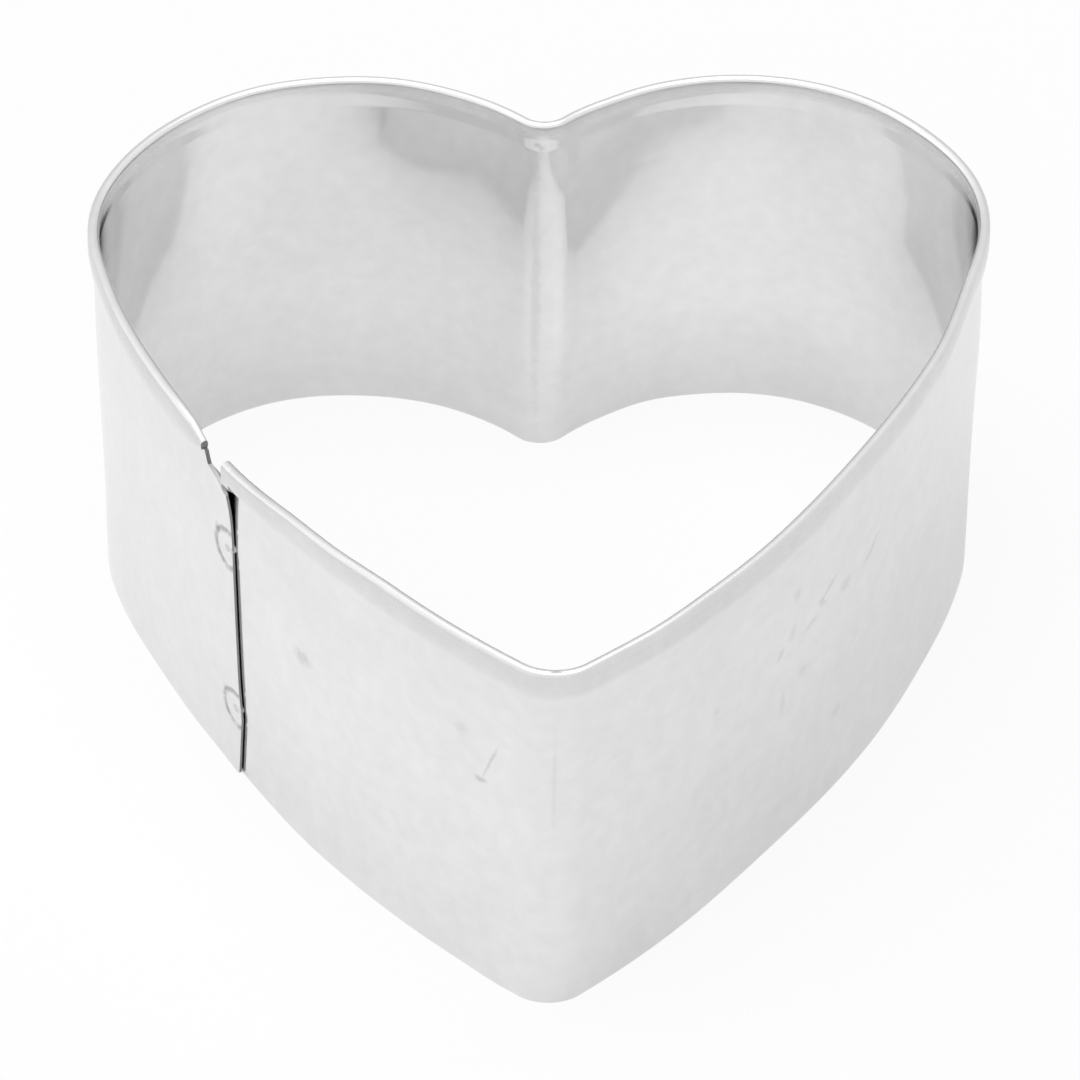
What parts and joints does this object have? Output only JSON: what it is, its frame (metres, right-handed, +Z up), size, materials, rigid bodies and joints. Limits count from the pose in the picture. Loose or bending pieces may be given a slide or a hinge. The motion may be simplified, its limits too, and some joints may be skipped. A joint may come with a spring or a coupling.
{
  "type": "cookie cutter",
  "caption": "Heart-shaped cookie cutter: a thin tinned-steel strip bent to a heart, with a folded rim on top, a bare cutting edge below and a spot-welded lap.",
  "frame": {"origin": "middle of the heart's overall box, on the plane of the cutting edge", "axes": "+Z up from the cutting edge to the folded rim, +Y from the heart's tip to its two lobes, +X to the right seen from above, away from the lap"},
  "size_m": [0.0556, 0.0578, 0.0254],
  "materials": {
    "tinplate": "bright rolled tin plate on thin steel",
    "weld_metal": "dished spot weld, tin burnt a little dull"
  },
  "bodies": {
    "root": {"heart_strip": "tinplate", "lower_spot_weld": "weld_metal", "upper_spot_weld": "weld_metal"}
  },
  "joints": []
}
